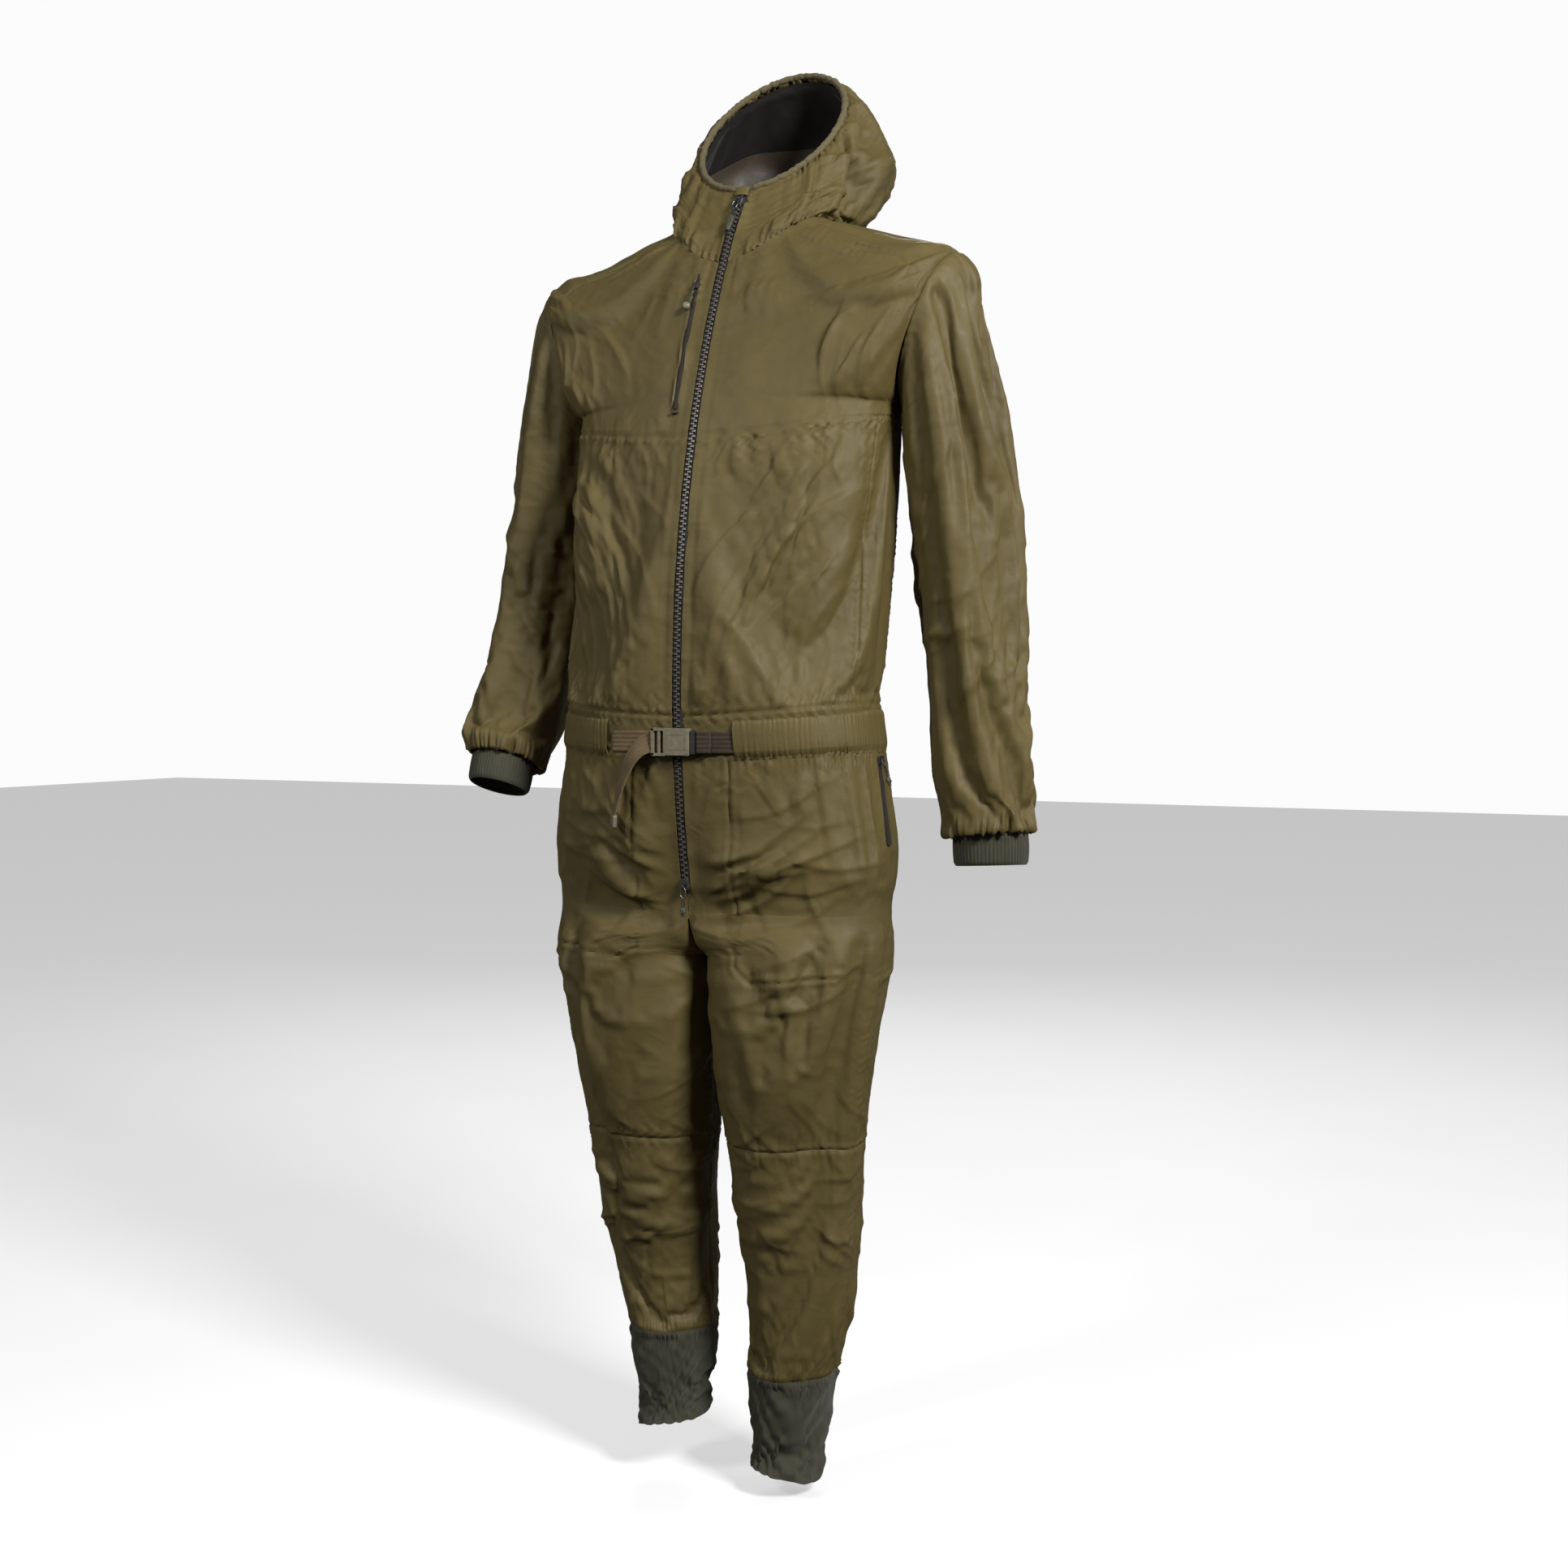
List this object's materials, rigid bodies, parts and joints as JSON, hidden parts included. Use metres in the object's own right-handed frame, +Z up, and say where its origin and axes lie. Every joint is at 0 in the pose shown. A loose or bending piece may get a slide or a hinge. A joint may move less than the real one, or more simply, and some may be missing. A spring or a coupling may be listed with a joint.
{
  "type": "hooded insulated one-piece coverall",
  "caption": "Hooded one-piece coverall with a two-way front zip, zipped pockets, a buckled waist belt, knit cuffs and stretch ankles, hung from a neck loop.",
  "frame": {"origin": "underside of the hanger loop at the back of the neck, where a hook bears", "axes": "+X to the wearer's left, -Y to the front, +Z up; the front zip lies in the plane x = 0"},
  "size_m": [0.7394, 0.4248, 1.7392],
  "materials": {
    "shell_cloth": "olive-brown nylon with a satin sheen",
    "side_cloth": "darker olive stretch weave, matt",
    "knit": "grey-green stretch knit, matt",
    "binding": "elastic binding, matt",
    "lining": "near-black nylon, satin",
    "tape": "woven zip tape, matt",
    "teeth": "moulded gunmetal grey",
    "slider_metal": "dark burnished die-cast",
    "black_hardware": "black moulded and painted",
    "grip": "soft dark green moulding and cord",
    "tan_webbing": "tan-brown ribbed webbing",
    "dark_webbing": "dark brown ribbed webbing",
    "buckle_plastic": "olive-grey moulded, satin",
    "insert_plastic": "dark moulded, satin"
  },
  "bodies": {
    "suit": {"chest_left": "shell_cloth", "chest_right": "shell_cloth", "front_left": "shell_cloth", "front_right": "shell_cloth", "shoulder_left": "shell_cloth", "shoulder_right": "shell_cloth", "back_yoke": "shell_cloth", "back_panel": "shell_cloth", "side_left": "side_cloth", "side_right": "side_cloth", "waistband": "shell_cloth", "lower_front_left": "shell_cloth", "lower_front_right": "shell_cloth", "seat": "shell_cloth", "hip_left": "shell_cloth", "hip_right": "shell_cloth", "thigh_left": "shell_cloth", "thigh_right": "shell_cloth", "knee_left": "shell_cloth", "knee_right": "shell_cloth", "sleeve_cap_left": "shell_cloth", "sleeve_cap_right": "shell_cloth", "hood_left": "shell_cloth", "hood_right": "shell_cloth", "hood_centre": "shell_cloth", "hood_binding": "binding", "hood_lining": "lining", "inner_collar": "lining", "hanger_loop": "tape", "zip_tapes": "tape", "zip_teeth": "teeth", "zip_garage": "shell_cloth", "chest_zip": "tape", "chest_pocket": "lining", "hip_zips": "tape", "hip_pockets": "lining", "belt_right": "tan_webbing", "buckle_socket": "buckle_plastic", "belt_tail": "tan_webbing", "tail_tip": "buckle_plastic"},
    "left_sleeve": {"sleeve_left": "shell_cloth", "cuff_left": "knit"},
    "right_sleeve": {"sleeve_right": "shell_cloth", "cuff_right": "knit"},
    "left_lower_leg": {"shin_left": "shell_cloth", "ankle_left": "knit"},
    "right_lower_leg": {"shin_right": "shell_cloth", "ankle_right": "knit"},
    "upper_slider": {"upper_slider": "slider_metal"},
    "upper_pull": {"upper_pull": "grip"},
    "lower_slider": {"lower_slider": "slider_metal"},
    "lower_pull": {"lower_pull": "grip"},
    "chest_slider": {"chest_slider": "black_hardware"},
    "hip_slider_left": {"hip_slider_left": "black_hardware"},
    "hip_pull_left": {"hip_pull_left": "black_hardware"},
    "hip_slider_right": {"hip_slider_right": "black_hardware"},
    "hip_pull_right": {"hip_pull_right": "black_hardware"},
    "belt_clip": {"belt_left": "dark_webbing", "belt_fold": "dark_webbing", "buckle_insert": "insert_plastic"}
  },
  "joints": [
    {"name": "upper_zip_run", "type": "hinge", "parent": "suit", "child": "upper_slider", "pos_m": [0, 0.968, -0.578], "axis": [1, 0, 0], "range_deg": [0, 28]},
    {"name": "upper_pull_swing", "type": "hinge", "parent": "upper_slider", "child": "upper_pull", "pos_m": [0, -0.10935, 0.01796], "axis": [-1, 0, 0], "range_deg": [0, 100]},
    {"name": "lower_zip_run", "type": "hinge", "parent": "suit", "child": "lower_slider", "pos_m": [0, 0.968, -0.578], "axis": [-1, 0, 0], "range_deg": [0, 6]},
    {"name": "lower_pull_swing", "type": "hinge", "parent": "lower_slider", "child": "lower_pull", "pos_m": [0, -0.24199, -0.80554], "axis": [-1, 0, 0], "range_deg": [-6, 100]},
    {"name": "chest_zip_run", "type": "hinge", "parent": "suit", "child": "chest_slider", "pos_m": [0, 0.968, -0.578], "axis": [1, 0, 0], "range_deg": [-0.4, 6.8]},
    {"name": "hip_zip_run_left", "type": "slide", "parent": "suit", "child": "hip_slider_left", "axis": [0.1695, -0.0404, -0.9847], "range_m": [0, 0.09]},
    {"name": "hip_pull_swing_left", "type": "hinge", "parent": "hip_slider_left", "child": "hip_pull_left", "pos_m": [0.21155, -0.14375, -0.65233], "axis": [0, -1, 0], "range_deg": [0, 100]},
    {"name": "hip_zip_run_right", "type": "slide", "parent": "suit", "child": "hip_slider_right", "axis": [-0.1695, -0.0404, -0.9847], "range_m": [0, 0.09]},
    {"name": "hip_pull_swing_right", "type": "hinge", "parent": "hip_slider_right", "child": "hip_pull_right", "pos_m": [-0.21155, -0.14375, -0.65233], "axis": [0, 1, 0], "range_deg": [0, 100]},
    {"name": "belt_unclip", "type": "hinge", "parent": "suit", "child": "belt_clip", "pos_m": [0, 0.26528, -0.634], "axis": [0, 0, 1], "range_deg": [0, 2.2]},
    {"name": "left_shoulder", "type": "hinge", "parent": "suit", "child": "left_sleeve", "pos_m": [0.262, -0.066, -0.085], "axis": [0, -1, 0], "range_deg": [0, 45], "deforming": ["sleeve_cap_left"]},
    {"name": "right_shoulder", "type": "hinge", "parent": "suit", "child": "right_sleeve", "pos_m": [-0.262, -0.066, -0.085], "axis": [0, 1, 0], "range_deg": [0, 45], "deforming": ["sleeve_cap_right"]},
    {"name": "left_knee", "type": "hinge", "parent": "suit", "child": "left_lower_leg", "pos_m": [0.0975, -0.135, -1.148], "axis": [1, 0, 0], "range_deg": [0, 45], "deforming": ["knee_left"]},
    {"name": "right_knee", "type": "hinge", "parent": "suit", "child": "right_lower_leg", "pos_m": [-0.0975, -0.135, -1.148], "axis": [1, 0, 0], "range_deg": [0, 45], "deforming": ["knee_right"]}
  ]
}
